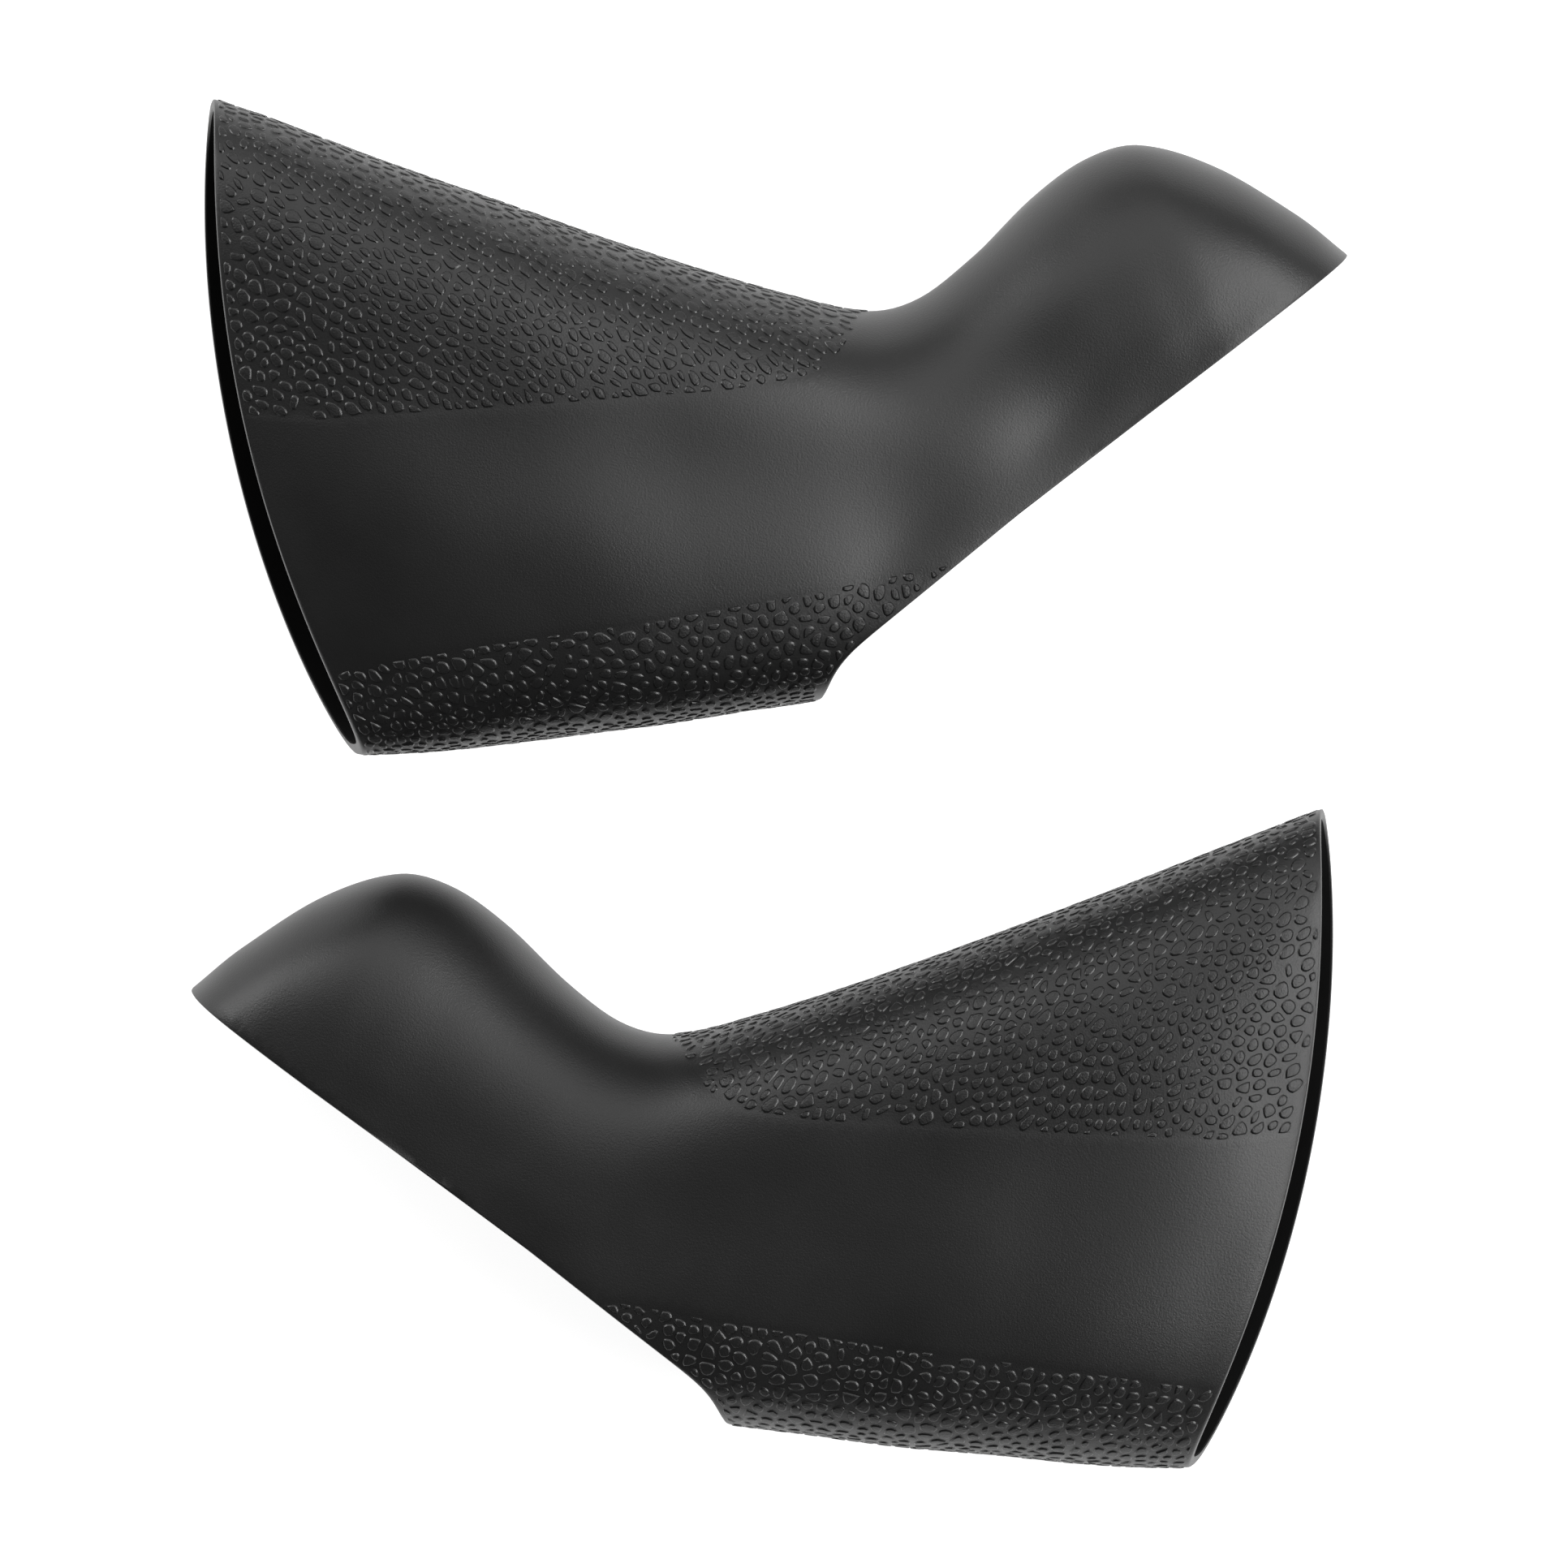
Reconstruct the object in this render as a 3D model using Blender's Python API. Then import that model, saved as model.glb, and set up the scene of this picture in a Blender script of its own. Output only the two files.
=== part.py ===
"""A pair of rubber hood covers for drop-bar brake levers: the right one and the left one.

Each hood is one hollow moulding. It is open at the rear, where the handlebar enters, and along its front
and underside, where the lever blade swings out. Both lie on their inner sides on a flat surface, with
their outer sides up and a small gap between them.

A hood is modelled in its own side view: x runs forward from the rear rim, y runs up to the rider's palm
and z runs out of the side that faces up. Lengths there are in millimetres and scaled to metres at the end.
"""

import math

import bmesh
import bpy
from mathutils import Matrix, Vector

MM = 0.001

# The loft's stations, in order from the rear to the nose, each one section of the hood:
# top edge x and y, low edge x and y, half width, wall thickness, and how square the section is above its
# widest place and below it (2 is round).
# The low edge is the real underside as far as the notch, and beyond it lies under the front cut.
STATIONS = [
    (-14.0, 73.9, -0.5, -0.6, 8.0, 0.9, 3.0, 3.0),
    (-4.0, 70.4, 10.0, -0.1, 14.2, 1.0, 3.0, 3.0),
    (10.0, 65.3, 24.0, 0.5, 18.4, 1.5, 3.0, 3.1),
    (28.0, 58.8, 39.0, 2.2, 20.0, 1.8, 3.0, 3.6),
    (46.0, 52.7, 54.0, 4.4, 19.6, 1.8, 3.0, 4.0),
    (60.0, 48.5, 66.0, 6.1, 18.6, 1.8, 2.9, 4.0),
    (69.5, 46.5, 79.0, 8.5, 17.6, 1.8, 2.6, 3.7),
    (75.0, 47.8, 88.5, 12.0, 16.9, 1.8, 2.4, 3.4),
    (80.5, 52.0, 97.0, 16.5, 16.1, 1.8, 2.3, 3.3),
    (87.0, 58.5, 104.5, 20.8, 15.7, 1.8, 2.3, 3.3),
    (92.5, 62.5, 109.5, 23.8, 15.9, 1.8, 2.3, 3.3),
    (98.0, 64.0, 113.0, 25.8, 16.0, 1.8, 2.3, 3.3),
    (106.0, 61.8, 117.0, 28.0, 15.2, 1.8, 2.3, 3.3),
    (114.0, 57.0, 120.5, 30.5, 13.7, 1.8, 2.3, 3.3),
    (120.0, 52.5, 123.5, 32.5, 12.2, 1.8, 2.3, 3.3),
    (132.0, 43.0, 134.0, 33.5, 8.5, 1.8, 2.3, 3.3),
]
TOP_X, TOP_Y, LOW_X, LOW_Y, HALF_WIDTH, WALL, SQUARENESS, LOWER_SQUARENESS = range(8)

OUTER_RANGE = (-8.0, 127.0)
INNER_RANGE = (-13.0, 131.0)
RINGS_PER_STATION = 2
RING_POINTS = 36
WIDEST_SHARE = 0.43

REAR_RADIUS = 123.0
REAR_CENTRE = (123.8, 60.0)
REAR_LEAN = 0.09
REAR_SKEW = 0.03
REAR_SIDES = 128

TIP = (120.0, 52.5)
CUT_MIDDLE = (84.0, 25.0)
NOTCH_TOP = (64.9, 9.4)
NOTCH_LOW = (64.1, 5.0)
CUTTER_REACH = 30.0
CUTTER_HALF_DEPTH = 35.0

# Each hood rests on the widest part of its body and on its nose, so it leans by these angles, in degrees.
REST_TILT = 3.95
REST_ROLL = 0.55
LEFT_TURN = 1.4
RIGHT_PLACE = (-59.2, 3.0)
LEFT_PLACE = (60.4, -71.0)


def slope(index, column):
    """Slope of one column of the stations, between the neighbours of a station."""
    before = STATIONS[max(index - 1, 0)]
    after = STATIONS[min(index + 1, len(STATIONS) - 1)]
    return (after[column] - before[column]) / (after[TOP_X] - before[TOP_X])


def section_at(top_x):
    """Values of the section whose top edge is at top_x, on smooth curves through the stations."""
    index = 0
    while index < len(STATIONS) - 2 and STATIONS[index + 1][TOP_X] <= top_x:
        index += 1
    first, second = STATIONS[index], STATIONS[index + 1]
    span = second[TOP_X] - first[TOP_X]
    t = (top_x - first[TOP_X]) / span
    values = [top_x]
    for column in range(1, len(first)):
        values.append(
            first[column] * (2 * t**3 - 3 * t**2 + 1)
            + slope(index, column) * span * (t**3 - 2 * t**2 + t)
            + second[column] * (3 * t**2 - 2 * t**3)
            + slope(index + 1, column) * span * (t**3 - t**2)
        )
    return values


def ring(top_x, is_inner):
    """One closed section, egg-shaped, as points of the side view with their height z."""
    section = section_at(top_x)
    top = Vector((section[TOP_X], section[TOP_Y], 0.0))
    low = Vector((section[LOW_X], section[LOW_Y], 0.0))
    widest = top.lerp(low, WIDEST_SHARE)
    wall = section[WALL] if is_inner else 0.0
    half_width = section[HALF_WIDTH] - wall
    upward = (top - low).normalized()
    points = []
    for step in range(RING_POINTS):
        angle = 2 * math.pi * step / RING_POINTS
        cosine, sine = math.cos(angle), math.sin(angle)
        edge = top if cosine > 0 else low
        reach = (edge - widest).length - wall
        power = 2 / section[SQUARENESS if cosine > 0 else LOWER_SQUARENESS]
        along = math.copysign(abs(cosine) ** power, cosine) * reach
        across = math.copysign(abs(sine) ** power, sine) * half_width
        points.append(widest + upward * along + Vector((0.0, 0.0, across)))
    return points


def closed_mesh(name, rings, side):
    """A closed solid lofted through rings of points; side is -1 for a mirrored one."""
    mesh = bmesh.new()
    loops = []
    for points in rings:
        loops.append([mesh.verts.new((point.x * side, point.y, point.z)) for point in points])
    for near, far in zip(loops, loops[1:]):
        count = len(near)
        for index in range(count):
            following = (index + 1) % count
            mesh.faces.new((near[index], near[following], far[following], far[index]))
    mesh.faces.new(loops[0])
    mesh.faces.new(loops[-1])
    bmesh.ops.recalc_face_normals(mesh, faces=mesh.faces)
    bmesh.ops.scale(mesh, vec=(MM, MM, MM), verts=mesh.verts)
    data = bpy.data.meshes.new(name)
    mesh.to_mesh(data)
    mesh.free()
    piece = bpy.data.objects.new(name, data)
    bpy.context.collection.objects.link(piece)
    return piece


def loft(name, reach, is_inner, side):
    """The hood's outer or inner skin, as a closed solid that runs past both of its ends."""
    places = list(reach)
    for near, far in zip(STATIONS, STATIONS[1:]):
        for step in range(RINGS_PER_STATION):
            top_x = near[TOP_X] + (far[TOP_X] - near[TOP_X]) * step / RINGS_PER_STATION
            if reach[0] < top_x < reach[1]:
                places.append(top_x)
    return closed_mesh(name, [ring(top_x, is_inner) for top_x in sorted(places)], side)


def prism(name, outline, side, skew=0.0, lean=0.0):
    """An outline of the side view, extruded through the hood, moving by skew and lean for each unit of z."""
    rings = []
    for depth in (-CUTTER_HALF_DEPTH, CUTTER_HALF_DEPTH):
        rings.append([Vector((x + skew * depth, y + lean * depth, depth)) for x, y in outline])
    return closed_mesh(name, rings, side)


def rear_outline():
    """The large circle whose arc is the hood's rear rim."""
    centre_x, centre_y = REAR_CENTRE
    outline = []
    for step in range(REAR_SIDES):
        angle = 2 * math.pi * step / REAR_SIDES
        x = centre_x + REAR_RADIUS * math.cos(angle)
        y = centre_y + REAR_RADIUS * math.sin(angle)
        outline.append((x, y))
    return outline


def front_outline():
    """What the front opening takes away: below the straight cut from the notch to past the tip."""
    rise = (TIP[1] - CUT_MIDDLE[1]) / (TIP[0] - CUT_MIDDLE[0])
    far_x = TIP[0] + CUTTER_REACH
    beyond_tip = (far_x, TIP[1] + CUTTER_REACH * rise)
    under_notch = (NOTCH_LOW[0] - 1.0, NOTCH_LOW[1] - CUTTER_REACH)
    return [under_notch, NOTCH_LOW, NOTCH_TOP, CUT_MIDDLE, beyond_tip, (far_x, under_notch[1])]


def cut(hood, cutter, operation):
    """Shape the hood with a hidden solid that moves with it."""
    cutter.parent = hood
    cutter.hide_render = True
    cutter.display_type = "WIRE"
    modifier = hood.modifiers.new(cutter.name, "BOOLEAN")
    modifier.operation = operation
    modifier.solver = "EXACT"
    modifier.object = cutter


def black_rubber():
    """Matt black moulded rubber."""
    material = bpy.data.materials.new("black_rubber")
    material.use_nodes = True
    shader = material.node_tree.nodes["Principled BSDF"]
    shader.inputs["Base Color"].default_value = (0.022, 0.022, 0.023, 1.0)
    shader.inputs["Roughness"].default_value = 0.55
    shader.inputs["Metallic"].default_value = 0.0
    return material


def make_hood(name, side, place, turn, material):
    """One hood: the outer skin, hollowed, trimmed at both openings and turned onto its inner side."""
    hood = loft(name, OUTER_RANGE, False, side)
    cut(hood, loft(name + "_inside", INNER_RANGE, True, side), "DIFFERENCE")
    cut(hood, prism(name + "_rear_rim", rear_outline(), side, REAR_SKEW, REAR_LEAN), "INTERSECT")
    cut(hood, prism(name + "_front_cut", front_outline(), side), "DIFFERENCE")
    hood.data.materials.append(material)
    turned = Matrix.Rotation(math.radians(turn), 4, "Z")
    rolled = Matrix.Rotation(math.radians(REST_ROLL), 4, "X")
    tilted = Matrix.Rotation(math.radians(REST_TILT * side), 4, "Y")
    moved = Matrix.Translation((place[0] * MM, place[1] * MM, 0.0))
    hood.matrix_world = moved @ turned @ rolled @ tilted
    return hood


def finished_points(hood):
    """The finished hood's points, where they are in the world."""
    bpy.context.view_layer.update()
    finished = hood.evaluated_get(bpy.context.evaluated_depsgraph_get())
    return [finished.matrix_world @ vertex.co for vertex in finished.data.vertices]


def lay_down(hoods):
    """Put each hood's lowest point on the ground, and the middle of the pair over the origin."""
    points = []
    for hood in hoods:
        own_points = finished_points(hood)
        hood.location.z -= min(point.z for point in own_points)
        points += own_points
    for axis in (0, 1):
        middle = (min(point[axis] for point in points) + max(point[axis] for point in points)) / 2
        for hood in hoods:
            hood.location[axis] -= middle


def clear_scene():
    """Start from an empty scene."""
    for item in list(bpy.data.objects):
        bpy.data.objects.remove(item, do_unlink=True)


def main():
    clear_scene()
    rubber = black_rubber()
    right = make_hood("hood_right", 1, RIGHT_PLACE, 0.0, rubber)
    left = make_hood("hood_left", -1, LEFT_PLACE, LEFT_TURN, rubber)
    lay_down((right, left))


main()
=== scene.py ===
"""Looks for a pair of rubber brake-lever hood covers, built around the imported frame.

Each hood is one closed mesh: an outer skin with raised pebbles on its grip patches, an inner skin, and
rounded rims between them. Shapes are worked out in the hood's own side view, in millimetres: x forward
from the rear rim, y up to the rider's palm, z out of the side that faces up.
A place on a skin is (station, angle): the station is the x of the section's top edge, and the angle runs
round the section from the top edge, positive on the side that faces up.
"""

import math
import random

import bpy
import numpy as np
from mathutils import Matrix, Vector
from mathutils.geometry import delaunay_2d_cdt


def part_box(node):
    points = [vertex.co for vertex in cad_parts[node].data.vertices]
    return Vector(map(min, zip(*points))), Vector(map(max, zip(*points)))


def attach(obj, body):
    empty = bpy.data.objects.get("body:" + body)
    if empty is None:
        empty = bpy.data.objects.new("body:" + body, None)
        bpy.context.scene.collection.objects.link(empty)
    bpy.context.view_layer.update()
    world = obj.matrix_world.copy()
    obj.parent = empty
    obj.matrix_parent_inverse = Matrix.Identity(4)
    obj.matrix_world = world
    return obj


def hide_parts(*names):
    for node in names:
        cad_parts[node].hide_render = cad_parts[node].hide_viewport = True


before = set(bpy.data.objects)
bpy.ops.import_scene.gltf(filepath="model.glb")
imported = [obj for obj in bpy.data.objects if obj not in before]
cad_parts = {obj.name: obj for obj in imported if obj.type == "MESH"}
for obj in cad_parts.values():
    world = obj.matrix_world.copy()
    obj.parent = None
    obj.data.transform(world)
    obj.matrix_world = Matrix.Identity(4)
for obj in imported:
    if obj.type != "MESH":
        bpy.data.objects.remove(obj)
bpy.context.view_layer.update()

MM = 0.001
PI = math.pi

# ---------------------------------------------------------------- the hood's form

# These values are the CAD model's, except that the rear rim is skewed half as much, the notch's corner is
# rounded, and the brackets are the stations between which each rim is looked for.
# Sections from the rear to the nose: top edge x and y, low edge x and y, half width, wall thickness, and
# how square the section is above its widest place and below it.
STATIONS = np.array([
    (-14.0, 73.9, -0.5, -0.6, 8.0, 0.9, 3.0, 3.0),
    (-4.0, 70.4, 10.0, -0.1, 14.2, 1.0, 3.0, 3.0),
    (10.0, 65.3, 24.0, 0.5, 18.4, 1.5, 3.0, 3.1),
    (28.0, 58.8, 39.0, 2.2, 20.0, 1.8, 3.0, 3.6),
    (46.0, 52.7, 54.0, 4.4, 19.6, 1.8, 3.0, 4.0),
    (60.0, 48.5, 66.0, 6.1, 18.6, 1.8, 2.9, 4.0),
    (69.5, 46.5, 79.0, 8.5, 17.6, 1.8, 2.6, 3.7),
    (75.0, 47.8, 88.5, 12.0, 16.9, 1.8, 2.4, 3.4),
    (80.5, 52.0, 97.0, 16.5, 16.1, 1.8, 2.3, 3.3),
    (87.0, 58.5, 104.5, 20.8, 15.7, 1.8, 2.3, 3.3),
    (92.5, 62.5, 109.5, 23.8, 15.9, 1.8, 2.3, 3.3),
    (98.0, 64.0, 113.0, 25.8, 16.0, 1.8, 2.3, 3.3),
    (106.0, 61.8, 117.0, 28.0, 15.2, 1.8, 2.3, 3.3),
    (114.0, 57.0, 120.5, 30.5, 13.7, 1.8, 2.3, 3.3),
    (120.0, 52.5, 123.5, 32.5, 12.2, 1.8, 2.3, 3.3),
    (132.0, 43.0, 134.0, 33.5, 8.5, 1.8, 2.3, 3.3),
])
WIDEST_SHARE = 0.43
REAR_RADIUS = 123.0
REAR_CENTRE = (123.8, 60.0)
REAR_LEAN = 0.09
REAR_SKEW = 0.015
TIP = (120.0, 52.5)
CUT_MIDDLE = (84.0, 25.0)
NOTCH_TOP = (64.9, 9.4)
NOTCH_LOW = (64.1, 5.0)
NOTCH_FILLET = 0.9
REAR_BRACKET = (-12.5, 27.5)
FRONT_BRACKET = (40.0, 130.0)
REST_TILT = 3.95
REST_ROLL = 0.55
LEFT_TURN = 1.4

# Grip patches: their edges in the side view.
UPPER_EDGE = np.array([
    (-12.0, 35.6), (3.0, 35.3), (12.0, 34.7), (37.0, 36.4), (54.0, 37.7), (61.0, 38.8),
    (64.4, 40.2), (66.1, 42.3), (68.2, 45.2), (70.0, 46.7), (80.0, 60.0),
])
LOWER_EDGE = np.array([
    (0.0, 6.6), (12.7, 8.9), (28.7, 11.7), (45.7, 14.2), (62.7, 17.2), (76.4, 19.9), (100.0, 25.0),
])
LOWER_EDGE_INNER_SIDE = np.array([
    (0.0, 6.6), (12.7, 8.9), (28.7, 11.7), (45.7, 14.4), (62.7, 18.6), (76.4, 23.6), (100.0, 33.0),
])

# Rims are rounded by RIM_ROUND, but by no more than MOST_ROUND of the wall at each edge. A grip patch lies
# PATCH_DEPTH below the smooth skin, behind a step STEP_WIDTH wide.
RIM_ROUND = 0.25
MOST_ROUND = 0.4
STEP_WIDTH = 0.12
PATCH_DEPTH = 0.02
EDGE_SPACING = 0.6
SMOOTH_SPACING = 0.95
INNER_SPACING = 2.2

# Soft dents and swellings of each hood's upper side: x, y, reach along x and y, and height.
DENTS = {
    "hood_right": (
        (72.5, 20.5, 5.0, 6.0, -0.6),
        (91.0, 32.0, 6.0, 5.5, -0.9),
        (90.0, 48.0, 9.0, 7.0, 1.2),
        (46.0, 18.0, 14.0, 5.0, 0.35),
        (50.0, 29.0, 22.0, 4.0, -0.15),
        (24.0, 23.0, 9.0, 5.0, 0.4),
    ),
    "hood_left": (
        (50.0, 28.0, 20.0, 7.0, -0.25),
    ),
}
# Slow waves of the same skin: direction in degrees, wavelength, height and phase.
WAVES = ((20.0, 21.0, 0.07, 0.4), (75.0, 17.0, 0.06, 1.9), (130.0, 26.0, 0.08, 3.3))
DENT_FADE = 6.0
# The line between the two charts of the inner skin bows aside by this angle, clear of the front rim.
SPLIT_BOW = 0.2

# Pebbles. Each one keeps half a groove's width, drawn from HALF_GROOVES, on its own side of the line
# halfway to each neighbour, and some are squeezed narrower.
PEBBLE_SEED = 7
PEBBLE_PITCH = 1.27
THROWS = 14
NEIGHBOUR_REACH = PEBBLE_PITCH * 2.6
LARGEST_REACH = 2.2
HALF_GROOVES = (0.07, 0.15)
HEIGHTS = (0.10, 0.145)
SQUEEZED_SHARE = 0.3
NARROWEST = 0.38
SMALLEST_AREA = 0.30
SMALL_RADIUS = 0.62
OUTLINE_POINTS = 120
LARGE_SIDES, SMALL_SIDES, HIDDEN_SIDES = 12, 10, 6
HIDDEN_BELOW = -3.0
# A pebble's profile from its foot to its top: how far in from its outline, and the share of its height.
PROFILE = ((0.0, 0.0), (0.05, 0.55), (0.11, 0.9), (0.19, 1.0))
PLAIN_PROFILE = ((0.0, 0.0), (0.11, 1.0))
# How far pebbles stay from a patch's step, from the rear rim at the top and from the rims at the bottom.
STEP_GAP = 0.06
REAR_GAP = 0.12
LOW_RIM_GAP = 0.14
# How far the ends of a patch's step stay from the rims, at the top and at the bottom.
UPPER_STEP_END = 0.35
LOWER_STEP_END = 0.3

# Values of the mesh's finish, which the rubber's gloss and grain follow.
POLISHED, SMOOTH, PEBBLE_TOP = 0.0, 1.0, 2.0

# Where the unrolled charts lie in the UV layer, in millimetres of a square of CHART_SIZE.
CHART_SIZE = 340.0
TOP_PLACE = (10.0, 80.0)
PATCH_PLACE = (10.0, 210.0)
INNER_TOP_PLACE = (170.0, 80.0)
INNER_LOW_PLACE = (160.0, 210.0)
RIM_PLACE = (10.0, 260.0)
RIM_ROW_HEIGHT = 0.9
SHARP_ANGLE = 35.0


def section_values(station):
    """Columns of STATIONS at any station, on smooth curves."""
    knots = STATIONS[:, 0]
    count = len(knots)
    index = np.clip(np.searchsorted(knots, station, "right") - 1, 0, count - 2)
    before = np.maximum(np.arange(count) - 1, 0)
    after = np.minimum(np.arange(count) + 1, count - 1)
    slopes = (STATIONS[after] - STATIONS[before]) / (knots[after] - knots[before])[:, None]
    span = (knots[index + 1] - knots[index])[:, None]
    t = ((station - knots[index])[:, None]) / span
    return (
        STATIONS[index] * (2 * t**3 - 3 * t**2 + 1)
        + slopes[index] * span * (t**3 - 2 * t**2 + t)
        + STATIONS[index + 1] * (3 * t**2 - 2 * t**3)
        + slopes[index + 1] * span * (t**3 - t**2)
    )


def even_turn(angle, squareness):
    """The superellipse's own angle for an angle, so that points spread evenly over its flat stretches."""
    quarters = np.abs(angle) / (PI / 2)
    whole = np.floor(quarters)
    part = quarters - whole
    ahead, behind = part ** (squareness / 2), (1 - part) ** (squareness / 2)
    return np.sign(angle) * (whole + ahead / (ahead + behind)) * PI / 2


def skin(station, angle, inner=False):
    """Points of the outer or inner skin."""
    station, angle = np.broadcast_arrays(np.asarray(station, float), np.asarray(angle, float))
    values = section_values(station.ravel())
    angle = angle.ravel()
    wall = values[:, 5] if inner else 0.0
    top, low = values[:, 0:2], values[:, 2:4]
    widest = top + (low - top) * WIDEST_SHARE
    length = np.linalg.norm(top - low, axis=1)
    upward = (top - low) / length[:, None]
    squareness = np.where(np.abs(angle) > PI / 2, values[:, 7], values[:, 6])
    turn = even_turn(angle, squareness)
    cosine, sine = np.cos(turn), np.sin(turn)
    share = np.where(cosine > 0, WIDEST_SHARE, 1 - WIDEST_SHARE)
    power = 2 / squareness
    along = np.sign(cosine) * np.abs(cosine) ** power * (length * share - wall)
    across = np.sign(sine) * np.abs(sine) ** power * (values[:, 4] - wall)
    return np.column_stack([widest + upward * along[:, None], across])


def skin_normals(station, angle):
    """Outward normals of the outer skin."""
    forward = skin(station + 0.2, angle) - skin(station - 0.2, angle)
    around = skin(station, angle + 0.01) - skin(station, angle - 0.01)
    normal = np.cross(around, forward)
    return normal / np.linalg.norm(normal, axis=1)[:, None]


def rear_clearance(points):
    """How far points lie inside the rear rim's circle."""
    centre_x = REAR_CENTRE[0] + REAR_SKEW * points[:, 2]
    centre_y = REAR_CENTRE[1] + REAR_LEAN * points[:, 2]
    return REAR_RADIUS - np.hypot(points[:, 0] - centre_x, points[:, 1] - centre_y)


def front_clearance(points):
    """How far points lie inside the front cut, whose corner at the notch is rounded."""
    x, y = points[:, 0], points[:, 1]
    lower_rise = (CUT_MIDDLE[1] - NOTCH_TOP[1]) / (CUT_MIDDLE[0] - NOTCH_TOP[0])
    upper_rise = (TIP[1] - CUT_MIDDLE[1]) / (TIP[0] - CUT_MIDDLE[0])
    rise = np.where(x < CUT_MIDDLE[0], lower_rise, upper_rise)
    above = (y - CUT_MIDDLE[1] - rise * (x - CUT_MIDDLE[0])) / np.sqrt(1 + rise**2)
    lean = (NOTCH_TOP[0] - NOTCH_LOW[0]) / (NOTCH_TOP[1] - NOTCH_LOW[1])
    behind = NOTCH_LOW[0] + lean * (y - NOTCH_LOW[1]) - x
    return NOTCH_FILLET * np.logaddexp(above / NOTCH_FILLET, behind / NOTCH_FILLET)


def bisect(function, low, high, steps=45):
    """Where a rising function crosses zero, for arrays of brackets."""
    low, high = low.copy(), high.copy()
    for _ in range(steps):
        middle = (low + high) / 2
        is_above = function(middle) > 0
        high = np.where(is_above, middle, high)
        low = np.where(is_above, low, middle)
    return (low + high) / 2


def rear_station(angle, setback, inner=False):
    """Station of the rear rim at each angle."""
    low, high = (np.full_like(angle, end) for end in REAR_BRACKET)
    return bisect(lambda s: rear_clearance(skin(s, angle, inner)) - setback, low, high)


def front_station(angle, setback, inner=False):
    """Station of the front cut at each angle."""
    low, high = (np.full_like(angle, end) for end in FRONT_BRACKET)
    return bisect(lambda s: setback - front_clearance(skin(s, angle, inner)), low, high)


def edge_angle(station, edge):
    """Angle at which each section meets a patch edge given in the side view."""
    def below_edge(angle):
        points = skin(station, angle)
        return np.interp(points[:, 0], edge[:, 0], edge[:, 1]) - points[:, 1]
    return bisect(below_edge, np.zeros_like(station), np.full_like(station, PI))


# ---------------------------------------------------------------- unrolled charts of the skin

# Tables over stations, and over angles or shares of the way from the top edge to the low edge.
GRID = np.arange(-13.0, 131.01, 0.5)
COLUMNS = 240
ANGLES = np.linspace(0, PI, COLUMNS + 1)
SHARES = np.linspace(0, 1, COLUMNS + 1)


def measure_sections():
    """The way round half of each section, the share of it at each angle, and the angle at each share."""
    stations = np.repeat(GRID, len(ANGLES))
    points = skin(stations, np.tile(ANGLES, len(GRID))).reshape(len(GRID), len(ANGLES), 3)
    steps = np.linalg.norm(np.diff(points, axis=1), axis=2)
    arc = np.concatenate([np.zeros((len(GRID), 1)), np.cumsum(steps, axis=1)], axis=1)
    half = arc[:, -1]
    share = arc / half[:, None]
    back = np.array([np.interp(SHARES, row, ANGLES) for row in share])
    return half, share, back


HALF_WAY, SHARE_OF_ANGLE, ANGLE_OF_SHARE = measure_sections()
LOW_X_GRID = section_values(GRID)[:, 2]


def read_table(table, station, column):
    """Bilinear reading of a table over GRID and a second axis given as a column number."""
    row = np.clip((station - GRID[0]) / (GRID[1] - GRID[0]), 0, len(GRID) - 1.001)
    column = np.clip(column, 0, table.shape[1] - 1.001)
    i, j = row.astype(int), column.astype(int)
    u, v = row - i, column - j
    return (
        table[i, j] * (1 - u) * (1 - v) + table[i + 1, j] * u * (1 - v)
        + table[i, j + 1] * (1 - u) * v + table[i + 1, j + 1] * u * v
    )


class TopChart:
    """The skin unrolled from its top edge: station, and signed way round from the top."""

    @staticmethod
    def unroll(station, angle):
        """Flat places of places on the skin."""
        share = read_table(SHARE_OF_ANGLE, station, np.abs(angle) / PI * COLUMNS)
        return np.column_stack([station, np.sign(angle) * share * np.interp(station, GRID, HALF_WAY)])

    @staticmethod
    def roll(flat):
        """Places on the skin, as stations and angles, of flat places."""
        half = np.interp(flat[:, 0], GRID, HALF_WAY)
        angle = read_table(ANGLE_OF_SHARE, flat[:, 0], np.abs(flat[:, 1]) / half * COLUMNS)
        return flat[:, 0], np.sign(flat[:, 1]) * angle


class LowChart:
    """The skin unrolled from its low edge: x of the low edge, and signed way round from it."""

    @staticmethod
    def unroll(station, angle):
        """Flat places of places on the skin."""
        share = 1 - read_table(SHARE_OF_ANGLE, station, np.abs(angle) / PI * COLUMNS)
        along = np.interp(station, GRID, LOW_X_GRID)
        return np.column_stack([along, np.sign(angle) * share * np.interp(station, GRID, HALF_WAY)])

    @staticmethod
    def roll(flat):
        """Places on the skin, as stations and angles, of flat places."""
        station = np.interp(flat[:, 0], LOW_X_GRID, GRID)
        half = np.interp(station, GRID, HALF_WAY)
        angle = read_table(ANGLE_OF_SHARE, station, (1 - np.abs(flat[:, 1]) / half) * COLUMNS)
        return station, np.where(flat[:, 1] < 0, -1, 1) * angle


def resample(points, spacing):
    """Values from 0 to 1 along a dense line of points, at even spacing along it."""
    way = np.concatenate([[0], np.cumsum(np.linalg.norm(np.diff(points, axis=0), axis=1))])
    count = max(int(round(way[-1] / spacing)), 2)
    return np.interp(np.linspace(0, way[-1], count + 1), way, np.linspace(0, 1, len(points)))


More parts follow.
